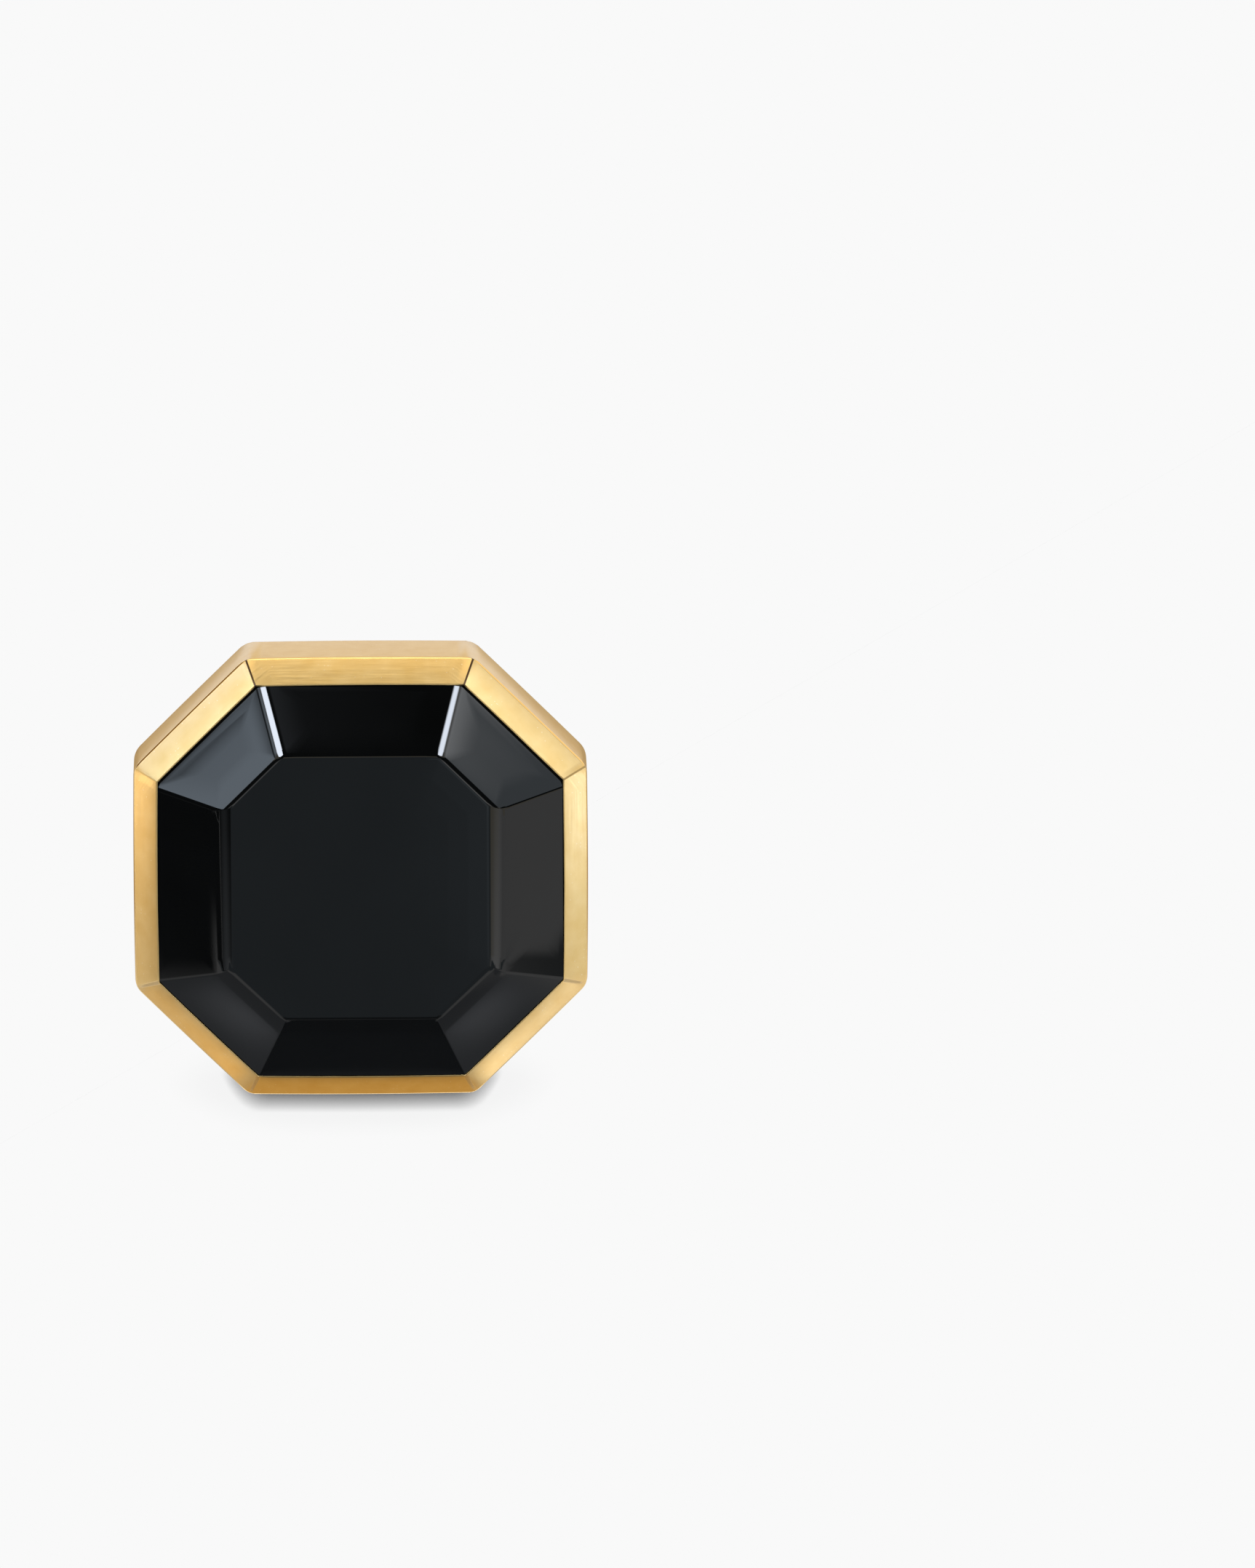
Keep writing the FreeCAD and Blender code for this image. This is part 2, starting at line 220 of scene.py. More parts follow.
soften([
    (back_edge_round, lambda e: on_outline(e) and near(heights(e)[1], -wall_depth)),
    (wall_corner_round, lambda e: on_outline(e) and heights(e)[1] - heights(e)[0] > wall_depth / 2),
    (ridge_round, lambda e: on_outline(e) and near(heights(e)[0], 0)),
    (lip_round, lambda e: at_lip(e) and along_side(e)),
    (mitre_round, lambda e: at_mitre(e) and e.verts[0].co.y > 0),
    (lower_mitre_round, lambda e: at_mitre(e) and e.verts[0].co.y < 0),
], segments=bezel_round_steps)

bpy.ops.object.mode_set(mode="EDIT")
pick("EDGE", along_side)
bpy.ops.mesh.subdivide(number_cuts=side_cuts)
bpy.ops.object.mode_set(mode="OBJECT")


def off_mitre(vertex):
    """How far a vertex lies beside the nearest mitre, the line where two facets of the rim meet."""
    far, close = sorted((abs(vertex.co.x), abs(vertex.co.y)), reverse=True)
    mitre = face_width / 2 - corner_cut - (face_width / 2 - far) * math.tan(half_corner)
    return abs(close - mitre) * math.cos(half_corner)


# The ridge is burnished. Painted shade, a fine dark brown line, lies in the creases of the two top mitres and
# faintly in the upper right one.
polish_values, mitre_shade_values, lip_vertices = [], [], []
for vertex in bezel.data.vertices:
    x, y, z = vertex.co
    if z > lip_foot and reach(vertex) > -rim_width - bow - lip_slack:
        lip_vertices.append(vertex.index)
    polish_values.append(1.0 if math.hypot(reach(vertex), z) < polish_reach else 0.0)
    on_rim = z > ridge_round or -ridge_round < reach(vertex) < 0 < z
    mitre_shade_share = top_mitre_shade_share if y > abs(x) else right_mitre_shade_share if 0 < y < x else 0.0
    mitre_shade_values.append(mitre_shade_share if on_rim and off_mitre(vertex) < mitre_shade_reach else 0.0)
for name, values in (("polish", polish_values), ("mitre_shade", mitre_shade_values)):
    bezel.data.attributes.new(name, "FLOAT", "POINT").data.foreach_set("value", values)
bezel.vertex_groups.new(name="lip").add(lip_vertices, 1.0, "REPLACE")
apply_modifier("CAST", cast_type="CYLINDER", factor=bow_share, size=face_width / 2, radius=0,
               use_radius_as_size=False, use_z=False)
burnishing = bpy.data.textures.new("burnishing", "CLOUDS")
burnishing.noise_scale = lip_wave_length
apply_modifier("DISPLACE", texture=burnishing, texture_coords="LOCAL", direction="RGB_TO_XYZ",
               strength=lip_wave, mid_level=0.5, vertex_group="lip")
bpy.ops.object.shade_smooth()
apply_modifier("WEIGHTED_NORMAL", mode="FACE_AREA", weight=100)


def add_node(tree, kind, settings=(), links=()):
    """Add a node to a material, with its settings and socket values, and the links that feed it. A link
    names its socket, or gives the socket's number where several have one name."""
    node = tree.nodes.new(kind)
    for name, value in dict(settings).items():
        if name in node.inputs:
            node.inputs[name].default_value = value
        else:
            setattr(node, name, value)
    for socket, source in dict(links).items():
        tree.links.new(source, node.inputs[socket])
    return node


def paint(code):
    """An sRGB hex colour as linear values."""
    channels = [int(code[i:i + 2], 16) / 255 for i in (1, 3, 5)]
    linear = [c / 12.92 if c <= 0.04045 else ((c + 0.055) / 1.055) ** 2.4 for c in channels]
    return (*linear, 1.0)


def new_material(name):
    """A material without nodes, and its node tree."""
    material = bpy.data.materials.new(name)
    material.use_nodes = True
    material.node_tree.nodes.clear()
    return material, material.node_tree


# Satin gold plate under a clear lacquer: a warm metal with a soft gloss, fine brushed streaks along each
# side, sparse pale specks and a thin white sheen from the lacquer. The ridge is burnished brighter, and
# painted shade shows as fine dark brown lines in the creases of the top mitres.
streak_width = 0.05 * mm
streak_length = 1.6 * mm
streak_depth = 0.003 * mm
cloud_size = 0.7 * mm
speck_spacing = 0.15 * mm
satin_gold, tree = new_material("satin_gold_plate_lacquered")
place = add_node(tree, "ShaderNodeUVMap", {"uv_map": "brushing"})
streaks_place = add_node(tree, "ShaderNodeMapping", {
    "Scale": (1 / streak_length, 1 / streak_width, 1)}, {"Vector": place.outputs["UV"]})
streaks = add_node(tree, "ShaderNodeTexNoise", {"Scale": 1, "Detail": 4, "Roughness": 0.65}, {
    "Vector": streaks_place.outputs["Vector"]})
clouds = add_node(tree, "ShaderNodeTexNoise", {"Scale": 1 / cloud_size, "Detail": 3}, {
    "Vector": place.outputs["UV"]})
cloudy = add_node(tree, "ShaderNodeMapRange", {"From Min": 0.3, "From Max": 0.7}, {
    "Value": clouds.outputs["Fac"]})
tone = add_node(tree, "ShaderNodeMix", {"data_type": "RGBA", "A": paint("#E6C077"), "B": paint("#EDCB88")}, {
    "Factor": cloudy.outputs["Result"]})
cells = add_node(tree, "ShaderNodeTexVoronoi", {"Scale": 1 / speck_spacing}, {"Vector": place.outputs["UV"]})
dots = add_node(tree, "ShaderNodeMapRange", {"From Min": 0.15, "From Max": 0.08}, {
    "Value": cells.outputs["Distance"]})
few = add_node(tree, "ShaderNodeMapRange", {"From Min": 0.50, "From Max": 0.65, "To Max": 0.5}, {
    "Value": cells.outputs["Color"]})
specks = add_node(tree, "ShaderNodeMath", {"operation": "MULTIPLY"}, {
    0: dots.outputs["Result"], 1: few.outputs["Result"]})
speckled = add_node(tree, "ShaderNodeMix", {"data_type": "RGBA", "B": paint("#FFF4D8")}, {
    "Factor": specks.outputs["Value"], "A": tone.outputs["Result"]})
# Painted shade: dark brown lines in the creases of the top mitres.
mitre_shades = add_node(tree, "ShaderNodeAttribute", {"attribute_name": "mitre_shade"})
mitre_shaded = add_node(tree, "ShaderNodeMix", {"data_type": "RGBA", "B": paint("#3E2709")}, {
    "Factor": mitre_shades.outputs["Fac"], "A": speckled.outputs["Result"]})
satin = add_node(tree, "ShaderNodeMapRange", {
    "From Min": 0.3, "From Max": 0.7, "To Min": 0.30, "To Max": 0.42}, {"Value": streaks.outputs["Fac"]})
edges = add_node(tree, "ShaderNodeAttribute", {"attribute_name": "polish"})
rough = add_node(tree, "ShaderNodeMapRange", {"To Max": 0.14}, {
    "Value": edges.outputs["Fac"], "To Min": satin.outputs["Result"]})
bump = add_node(tree, "ShaderNodeBump", {"Strength": 0.5, "Distance": streak_depth}, {
    "Height": streaks.outputs["Fac"]})
shader = add_node(tree, "ShaderNodeBsdfPrincipled", {
    "Metallic": 1.0, "Coat Weight": 0.7, "Coat IOR": 1.5, "Coat Roughness": 0.20}, {
    "Base Color": mitre_shaded.outputs["Result"], "Roughness": rough.outputs["Result"],
    "Normal": bump.outputs["Normal"]})
add_node(tree, "ShaderNodeOutputMaterial", links={"Surface": shader.outputs["BSDF"]})

# The brushing runs along each side, so each face is laid out along the side that it belongs to.
lay = bezel.data.uv_layers.new(name="brushing")
for face in bezel.data.polygons:
    turn = round(math.atan2(face.center.y, face.center.x) / math.radians(45)) * math.radians(45)
    along = Vector((-math.sin(turn), math.cos(turn), 0))
    across = face.normal.cross(along)
    for corner in face.loop_indices:
        spot = bezel.data.vertices[bezel.data.loops[corner].vertex_index].co
        lay.data[corner].uv = (spot.dot(along), spot.dot(across))
bezel.data.materials.append(satin_gold)
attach(set_in_frame("gold_bezel", "bezel"), "head")

# Onyx: black chalcedony cut with a flat octagonal table and eight crown facets, and polished to a mirror.
# Polishing on a soft lap has rounded the facet edges and domed the facets a little. The bezel's lip holds
# it by a steep bevel.
setting_gap = 0.005 * mm
girdle_height = 0.60 * mm
girdle_width = face_width - 2 * (rim_width + bow - under_lip + setting_gap)
girdle_cut = 3.60 * mm
girdle_top = rim_rise - under_lip_depth
girdle_foot = girdle_top - girdle_height
crown_foot_width = 14.20 * mm
upper_crown_cut = 3.70 * mm
lower_crown_cut = 3.50 * mm
crown_rise = 1.40 * mm
crown_below_lip = 0.13 * mm
table_top = rim_rise + crown_rise
table_width = 9.60 * mm
table_height = 9.92 * mm
table_cut = 2.02 * mm
table_edge_round = 0.12 * mm
table_side_round = 0.34 * mm
table_low_round = 0.40 * mm
crown_edge_round = 0.08 * mm
top_edge_round = 0.28 * mm
stone_round_steps = 8
dome_least_area = 2.0 * mm * mm
crown_facings = (0.70, 0.98)
crown_dome_step = 0.22 * mm
crown_dome_slopes = (1.6, 1.1, 0.6, 0.2)
table_facings = (0.99, 1.01)
table_dome_step = 0.70 * mm
table_dome_slopes = (0.5, 0.3, 0.15)
facet_mesh = 0.6 * mm
facet_cuts = 12
trim_tolerance = 0.0001 * mm
stone_crease = math.radians(20)

# The crown's planes go on below the lip, and are trimmed there by the steep bevel.
new_bench()
table = (table_width, table_height, table_cut, table_cut)
crown_foot = (crown_foot_width, crown_foot_width, upper_crown_cut, lower_crown_cut)
stretch = (crown_rise + crown_below_lip) / crown_rise
low_foot = [t + (f - t) * stretch for f, t in zip(crown_foot, table)]
octagon(girdle_width, girdle_width, girdle_cut, girdle_cut, girdle_foot)
octagon(girdle_width, girdle_width, girdle_cut, girdle_cut, girdle_top)
octagon(*low_foot, rim_rise - crown_below_lip)
octagon(*table, table_top)
stone = bpy.context.object
bpy.ops.mesh.select_all(action="SELECT")
bpy.ops.mesh.delete(type="ONLY_FACE")
bpy.ops.mesh.select_mode(type="EDGE")
bpy.ops.mesh.select_all(action="SELECT")
bpy.ops.mesh.bridge_edge_loops()
for end in (girdle_foot, table_top):
    pick("EDGE", lambda e: e.is_boundary and near(heights(e)[0], end) and near(heights(e)[1], end))
    bpy.ops.mesh.edge_face_add()
bpy.ops.mesh.select_all(action="SELECT")
bpy.ops.mesh.normals_make_consistent(inside=False)


def up_crown(edge):
    """Whether an edge goes up between two crown facets."""
    return near(heights(edge)[1], table_top) and not near(heights(edge)[0], table_top)


def beside_top(edge):
    """Whether an edge bounds the top facet."""
    return all(v.co.y > abs(v.co.x) for v in edge.verts)


def at_table(edge):
    """Whether an edge bounds the table."""
    return near(heights(edge)[0], table_top)


def at_table_side(edge):
    """Whether an edge is the table's left or right side."""
    return at_table(edge) and all(near(abs(v.co.x), table_width / 2) for v in edge.verts)


def at_table_low(edge):
    """Whether an edge is one of the table's three lower sides."""
    return at_table(edge) and sum(v.co.y for v in edge.verts) < -mm and not at_table_side(edge)


soften([
    (table_side_round, at_table_side),
    (table_low_round, at_table_low),
    (table_edge_round, lambda e: at_table(e) and not at_table_side(e) and not at_table_low(e)),
    (top_edge_round, lambda e: up_crown(e) and beside_top(e)),
    (crown_edge_round, lambda e: up_crown(e) and not beside_top(e)),
], segments=stone_round_steps)
bpy.ops.object.mode_set(mode="EDIT")

# The crown facets and the table are picked by how far up they face, and each is domed by insets that rise
# less and less towards its middle.
for (least, most), step, slopes in (
    (crown_facings, crown_dome_step, crown_dome_slopes),
    (table_facings, table_dome_step, table_dome_slopes),
):
    pick("FACE", lambda f: f.calc_area() > dome_least_area and least < f.normal.z < most)
    for slope in slopes:
        bpy.ops.mesh.inset(thickness=step, depth=step * math.tan(math.radians(slope)), use_individual=True)
pick("EDGE", lambda e: heights(e)[1] > rim_rise + crown_edge_round and e.calc_length() > facet_mesh)
bpy.ops.mesh.subdivide(number_cuts=facet_cuts)
for turn in range(0, 360, 45):
    out = Vector((math.cos(math.radians(turn)), math.sin(math.radians(turn)), 0))
    side = diagonal_half if turn % 90 else face_width / 2
    lip = side - rim_width - bow - setting_gap
    bpy.ops.mesh.select_all(action="SELECT")
    bpy.ops.mesh.bisect(plane_co=out * lip + Vector((0, 0, rim_rise)),
                        plane_no=(out * under_lip_depth + Vector((0, 0, under_lip))).normalized(),
                        threshold=trim_tolerance, use_fill=True, clear_outer=True)
bpy.ops.object.mode_set(mode="OBJECT")
bpy.ops.object.shade_smooth_by_angle(angle=stone_crease)

# Polished black onyx: almost black, with a hard mirror gloss that a faint cloudy banding softens here and
# there.
band_width = 3.0 * mm
onyx, tree = new_material("polished_black_onyx")
place = add_node(tree, "ShaderNodeTexCoord")
bands = add_node(tree, "ShaderNodeTexNoise", {"Scale": 1 / band_width, "Detail": 3}, {
    "Vector": place.outputs["Object"]})
body_colour = add_node(tree, "ShaderNodeMix", {
    "data_type": "RGBA", "A": paint("#050607"), "B": paint("#0B0D10")}, {"Factor": bands.outputs["Fac"]})
polish = add_node(tree, "ShaderNodeMapRange", {"To Min": 0.02, "To Max": 0.06}, {
    "Value": bands.outputs["Fac"]})
shader = add_node(tree, "ShaderNodeBsdfPrincipled", {"IOR": 1.43}, {
    "Base Color": body_colour.outputs["Result"], "Roughness": polish.outputs["Result"]})
add_node(tree, "ShaderNodeOutputMaterial", links={"Surface": shader.outputs["BSDF"]})
stone.data.materials.append(onyx)
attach(set_in_frame("onyx", "onyx_stone"), "head")

# Seat and cement: a brass ring soldered inside the bezel carries the stone's back, and a dark thermosetting
# cement fills the ring and grips the stone. Neither shows once the head is closed.


def dress(node, material):
    """Give a CAD node that keeps its shape its real finish."""
    finish = frame["nodes"][node].data.materials
    finish.clear()
    finish.append(material)


def tool_marked_metal(name, tones, gloss, mark_sizes, mark_depth):
    """A metal with cloudy tone and tool marks, whose sizes go across, along the post and up the face."""
    material, tree = new_material(name)
    place = add_node(tree, "ShaderNodeTexCoord")
    cloud_size = 0.8 * mm
    clouds = add_node(tree, "ShaderNodeTexNoise", {"Scale": 1 / cloud_size, "Detail": 3}, {
        "Vector": place.outputs["Object"]})
    tone = add_node(tree, "ShaderNodeMix", {
        "data_type": "RGBA", "A": paint(tones[0]), "B": paint(tones[1])}, {"Factor": clouds.outputs["Fac"]})
    marks_place = add_node(tree, "ShaderNodeMapping", {
        "vector_type": "TEXTURE", "Rotation": (-lean, 0, 0), "Scale": mark_sizes}, {
        "Vector": place.outputs["Object"]})
    marks = add_node(tree, "ShaderNodeTexNoise", {"Scale": 1, "Detail": 3, "Roughness": 0.6}, {
        "Vector": marks_place.outputs["Vector"]})
    rough = add_node(tree, "ShaderNodeMapRange", {
        "From Min": 0.3, "From Max": 0.7, "To Min": gloss[0], "To Max": gloss[1]}, {
        "Value": marks.outputs["Fac"]})
    bump = add_node(tree, "ShaderNodeBump", {"Strength": 0.5, "Distance": mark_depth}, {
        "Height": marks.outputs["Fac"]})
    shader = add_node(tree, "ShaderNodeBsdfPrincipled", {"Metallic": 1.0}, {
        "Base Color": tone.outputs["Result"], "Roughness": rough.outputs["Result"],
        "Normal": bump.outputs["Normal"]})
    add_node(tree, "ShaderNodeOutputMaterial", links={"Surface": shader.outputs["BSDF"]})
    return material


# Milled brass: a deeper yellow than the plating, with short cutter marks.
dress("stone_seat", tool_marked_metal(
    "milled_brass", tones=("#C79A45", "#D4AC5C"), gloss=(0.28, 0.42),
    mark_sizes=(0.06 * mm, 0.9 * mm, 0.06 * mm), mark_depth=0.004 * mm))

# Thermosetting cement: dull dark brown, grainy, with paler specks of filler.
grain_size = 0.12 * mm
grain_depth = 0.02 * mm
cement, tree = new_material("dark_setting_cement")
place = add_node(tree, "ShaderNodeTexCoord")
grain = add_node(tree, "ShaderNodeTexNoise", {"Scale": 1 / grain_size, "Detail": 4}, {
    "Vector": place.outputs["Object"]})
filler = add_node(tree, "ShaderNodeMapRange", {"From Min": 0.45, "From Max": 0.72}, {
    "Value": grain.outputs["Fac"]})
body_colour = add_node(tree, "ShaderNodeMix", {
    "data_type": "RGBA", "A": paint("#2B241E"), "B": paint("#5A4C3E")}, {"Factor": filler.outputs["Result"]})
bump = add_node(tree, "ShaderNodeBump", {"Strength": 0.6, "Distance": grain_depth}, {
    "Height": grain.outputs["Fac"]})
shader = add_node(tree, "ShaderNodeBsdfPrincipled", {"Roughness": 0.8}, {
    "Base Color": body_colour.outputs["Result"], "Normal": bump.outputs["Normal"]})
add_node(tree, "ShaderNodeOutputMaterial", links={"Surface": shader.outputs["BSDF"]})
dress("setting_cement", cement)

# Back plate: a brass sheet cut to the octagon, let in flush behind the stone and soldered all round.
# It is gold plated and brushed straight across with the bezel, and its edges are broken to a fine seam.
plate_gap = 0.04 * mm
plate_width = face_width - 2 * (rim_width - under_lip + plate_gap)
plate_cut = 3.60 * mm
plate_thickness = 0.70 * mm
plate_edge_break = 0.04 * mm
plate_break_steps = 3
plate_edge_angle = math.radians(60)
plate_crease = math.radians(40)
foot_hole = 4.02 * mm
foot_hole_sides = 96
new_bench()
octagon(plate_width, plate_width, plate_cut, plate_cut, -wall_depth)
plate = bpy.context.object
bpy.ops.mesh.delete(type="ONLY_FACE")
bpy.ops.mesh.primitive_circle_add(vertices=foot_hole_sides, radius=foot_hole, location=(0, 0, -wall_depth))
pick("EDGE", lambda edge: True)
bpy.ops.mesh.bridge_edge_loops()
bpy.ops.mesh.select_all(action="SELECT")
raise_face(plate_thickness)
bpy.ops.mesh.select_all(action="SELECT")
bpy.ops.mesh.normals_make_consistent(inside=False)
soften([(plate_edge_break, lambda e: all(near(v.co.z, -wall_depth) for v in e.verts)
         and e.calc_face_angle() > plate_edge_angle)], segments=plate_break_steps)
bpy.ops.object.shade_smooth_by_angle(angle=plate_crease)
lay = plate.data.uv_layers.new(name="brushing")
for corner in plate.data.loops:
    lay.data[corner.index].uv = plate.data.vertices[corner.vertex_index].co.xy
plate.data.materials.append(satin_gold)
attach(set_in_frame("gold_back_plate", "back_plate"), "head")

# Post: a turned foot pad soldered through the back plate, a strip bent to a U and soldered on it, and a pin
# riveted over in the eyes of its two arms. All three are buffed bright and gold plated.
# Buffed gold plate: a mirror with a faint haze of fine wheel marks.
buffed_gold = tool_marked_metal(
    "buffed_gold_plate", tones=("#E8C47C", "#EFD093"), gloss=(0.10, 0.20),
    mark_sizes=(0.05 * mm, 0.7 * mm, 0.05 * mm), mark_depth=0.0006 * mm)
for node in ("post_foot", "post_yoke", "pivot_pin"):
    dress(node, buffed_gold)

# Toggle: a drawn tube with a turned domed cap pressed into each end. It swings on the pin, and is polished
# on the lathe and gold plated.
# Turned gold plate: bright, with fine rings round the tube from the lathe polish.
turned_gold = tool_marked_metal(
    "turned_gold_plate", tones=("#E8C47C", "#EFD093"), gloss=(0.12, 0.24),
    mark_sizes=(4.0 * mm, 0.06 * mm, 4.0 * mm), mark_depth=0.0008 * mm)
for node in ("toggle_barrel", "front_cap", "rear_cap"):
    dress(node, turned_gold)

# Bushes and plunger: turned from brass and left bare. The bushes line the cross holes of the tube and run on
# the pin, and the plunger slides in the tube and clicks on the pin's flats.
# Turned bare brass: a deeper and duller yellow than the plating, with turning marks.
turned_brass = tool_marked_metal(
    "turned_bare_brass", tones=("#BE9140", "#CDA552"), gloss=(0.22, 0.34),
    mark_sizes=(2.0 * mm, 2.0 * mm, 0.05 * mm), mark_depth=0.002 * mm)
for node in ("upper_bush", "lower_bush", "detent_plunger"):
    dress(node, turned_brass)

# Click spring: a compression spring coiled from drawn steel wire. One end stands in the rear cap and the
# other presses on the plunger. The real coil closes up as the plunger slides; this one is made at rest and keeps
# its shape.
# Drawn spring steel: a grey satin skin with fine lines from the die.
wire_radius = 0.17 * mm
wire_sides = 16
coil_radius = 1.15 * mm
coil_turns = 4
coil_steps = 40
coil_pitch = 0.825 * mm
first_turn = 2.56 * mm
spring_crease = math.radians(40)
pivot = Vector(frame["joints"][0]["pos_m"])
pivot_depth = (pivot - ridge_centre).dot(post_axis)
new_bench()
bpy.ops.mesh.primitive_circle_add(vertices=wire_sides, radius=wire_radius, rotation=(math.radians(90), 0, 0),
                                  location=(coil_radius, 0, -pivot_depth - first_turn))
bpy.ops.object.transform_apply(location=True, rotation=True)
apply_modifier("SCREW", screw_offset=-coil_pitch, iterations=coil_turns, steps=coil_steps)
bpy.ops.object.mode_set(mode="EDIT")
bpy.ops.mesh.select_all(action="SELECT")
bpy.ops.mesh.fill_holes(sides=0)
bpy.ops.mesh.select_all(action="SELECT")
bpy.ops.mesh.normals_make_consistent(inside=False)
bpy.ops.object.mode_set(mode="OBJECT")
bpy.ops.object.shade_smooth_by_angle(angle=spring_crease)
bpy.context.object.data.materials.append(tool_marked_metal(
    "drawn_spring_steel", tones=("#84888C", "#A2A6AA"), gloss=(0.26, 0.38),
    mark_sizes=(0.4 * mm, 0.05 * mm, 0.4 * mm), mark_depth=0.002 * mm))
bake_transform(set_in_frame("click_spring", "detent_spring"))

# Floor: a white table that runs on as its own background, with only a soft contact shadow and a faint wider
# one. What the camera and the reflections see of it glows evenly, with both shadows painted into the glow
# from how close the cufflink stands above it, and for all other light it is matt white.
floor_size = 4.0
floor_white = paint("#F9F9F9")
shadow_reach = 0.76 * mm
wide_shadow_reach = 2.6 * mm
shadow_samples = 16
bpy.ops.object.select_all(action="DESELECT")
bpy.ops.mesh.primitive_plane_add(size=floor_size)
floor = bpy.context.object
floor.name = "floor"
paper, tree = new_material("white_table")
# Painted contact shadow and painted wider shadow: the glow darkens where the cufflink lies close above.
contact = add_node(tree, "ShaderNodeAmbientOcclusion", {"Distance": shadow_reach, "samples": shadow_samples})
shade = add_node(tree, "ShaderNodeMapRange", {
    "From Min": 0.1, "From Max": 0.9, "To Min": 0.02, "To Max": 1.0}, {"Value": contact.outputs["AO"]})
around = add_node(tree, "ShaderNodeAmbientOcclusion", {"Distance": wide_shadow_reach, "samples": shadow_samples})
wide_shadow = add_node(tree, "ShaderNodeMapRange", {
    "From Min": 0.5, "From Max": 0.8, "To Min": 0.95, "To Max": 1.0}, {"Value": around.outputs["AO"]})
lightness = add_node(tree, "ShaderNodeMath", {"operation": "MULTIPLY"}, {
    0: shade.outputs["Result"], 1: wide_shadow.outputs["Result"]})
white = add_node(tree, "ShaderNodeMix", {"data_type": "RGBA", "A": paint("#000000"), "B": floor_white}, {
    "Factor": lightness.outputs["Value"]})
shown = add_node(tree, "ShaderNodeEmission", {}, {"Color": white.outputs["Result"]})
lit = add_node(tree, "ShaderNodeBsdfDiffuse", {"Color": floor_white})
ray = add_node(tree, "ShaderNodeLightPath")
seen = ray.outputs["Is Camera Ray"]
for kind in ("Is Glossy Ray", "Is Transmission Ray"):
    either = add_node(tree, "ShaderNodeMath", {"operation": "MAXIMUM"}, {0: seen, 1: ray.outputs[kind]})
    seen = either.outputs["Value"]
surface = add_node(tree, "ShaderNodeMixShader", {}, {
    0: seen, 1: lit.outputs["BSDF"], 2: shown.outputs["Emission"]})
add_node(tree, "ShaderNodeOutputMaterial", links={"Surface": surface.outputs["Shader"]})
floor.data.materials.append(paper)

# Light: a white tent all round, with cards and soft boxes that the metal and the stone mirror.
world = bpy.data.worlds.new("white_tent")
bpy.context.scene.world = world
world.use_nodes = True
tent = world.node_tree.nodes["Background"]
tent.inputs["Color"].default_value = paint("#F9F1DC")
tent.inputs["Strength"].default_value = 1.0


def card(name, azimuth, elevation, distance, width, height, colour, strength, soft_share):
    """A flat card or soft box that faces the cufflink. Only reflections show it, and its edge fades out."""
    a, e = math.radians(azimuth), math.radians(elevation)
    way = Vector((math.sin(a) * math.cos(e), -math.cos(a) * math.cos(e), math.sin(e)))
    bpy.ops.object.select_all(action="DESELECT")
    bpy.ops.mesh.primitive_plane_add(size=1)
    piece = bpy.context.object
    piece.name = name
    piece.scale = (width, height, 1)
    piece.location = ridge_centre + way * distance
    piece.rotation_euler = way.to_track_quat("Z", "Y").to_euler()
    middle = 0.5
    material, tree = new_material(name)
    place = add_node(tree, "ShaderNodeTexCoord")
    split = add_node(tree, "ShaderNodeSeparateXYZ", {}, {"Vector": place.outputs["UV"]})
    fades = []
    for side in ("X", "Y"):
        off_middle = add_node(tree, "ShaderNodeMath", {"operation": "SUBTRACT"}, {0: split.outputs[side]})
        off_middle.inputs[1].default_value = middle
        size = add_node(tree, "ShaderNodeMath", {"operation": "ABSOLUTE"}, {0: off_middle.outputs["Value"]})
        fades.append(add_node(tree, "ShaderNodeMapRange", {
            "interpolation_type": "SMOOTHSTEP", "From Min": middle, "From Max": middle - soft_share / 2}, {
            "Value": size.outputs["Value"]}))
    both = add_node(tree, "ShaderNodeMath", {"operation": "MULTIPLY"}, {
        0: fades[0].outputs["Result"], 1: fades[1].outputs["Result"]})
    clear = add_node(tree, "ShaderNodeBsdfTransparent")
    glow = add_node(tree, "ShaderNodeEmission", {"Color": paint(colour), "Strength": strength})
    surface = add_node(tree, "ShaderNodeMixShader", {}, {
        0: both.outputs["Value"], 1: clear.outputs["BSDF"], 2: glow.outputs["Emission"]})
    add_node(tree, "ShaderNodeOutputMaterial", links={"Surface": surface.outputs["Shader"]})
    piece.data.materials.append(material)
    for kind in ("camera", "diffuse", "transmission", "volume_scatter", "shadow"):
        setattr(piece, "visible_" + kind, False)
    return piece


def floor_card(name, x, y, turn, width, length, colour, soft_share, lift, strength=1.0):
    """A sheet on the table that only reflections show: painted shade where it is dark, painted light where it is
    bright.
    """
    piece = card(name, 0, 90, 1, width, length, colour, strength, soft_share)
    piece.location = (x, y, lift)
    piece.rotation_euler = (0, 0, math.radians(turn))


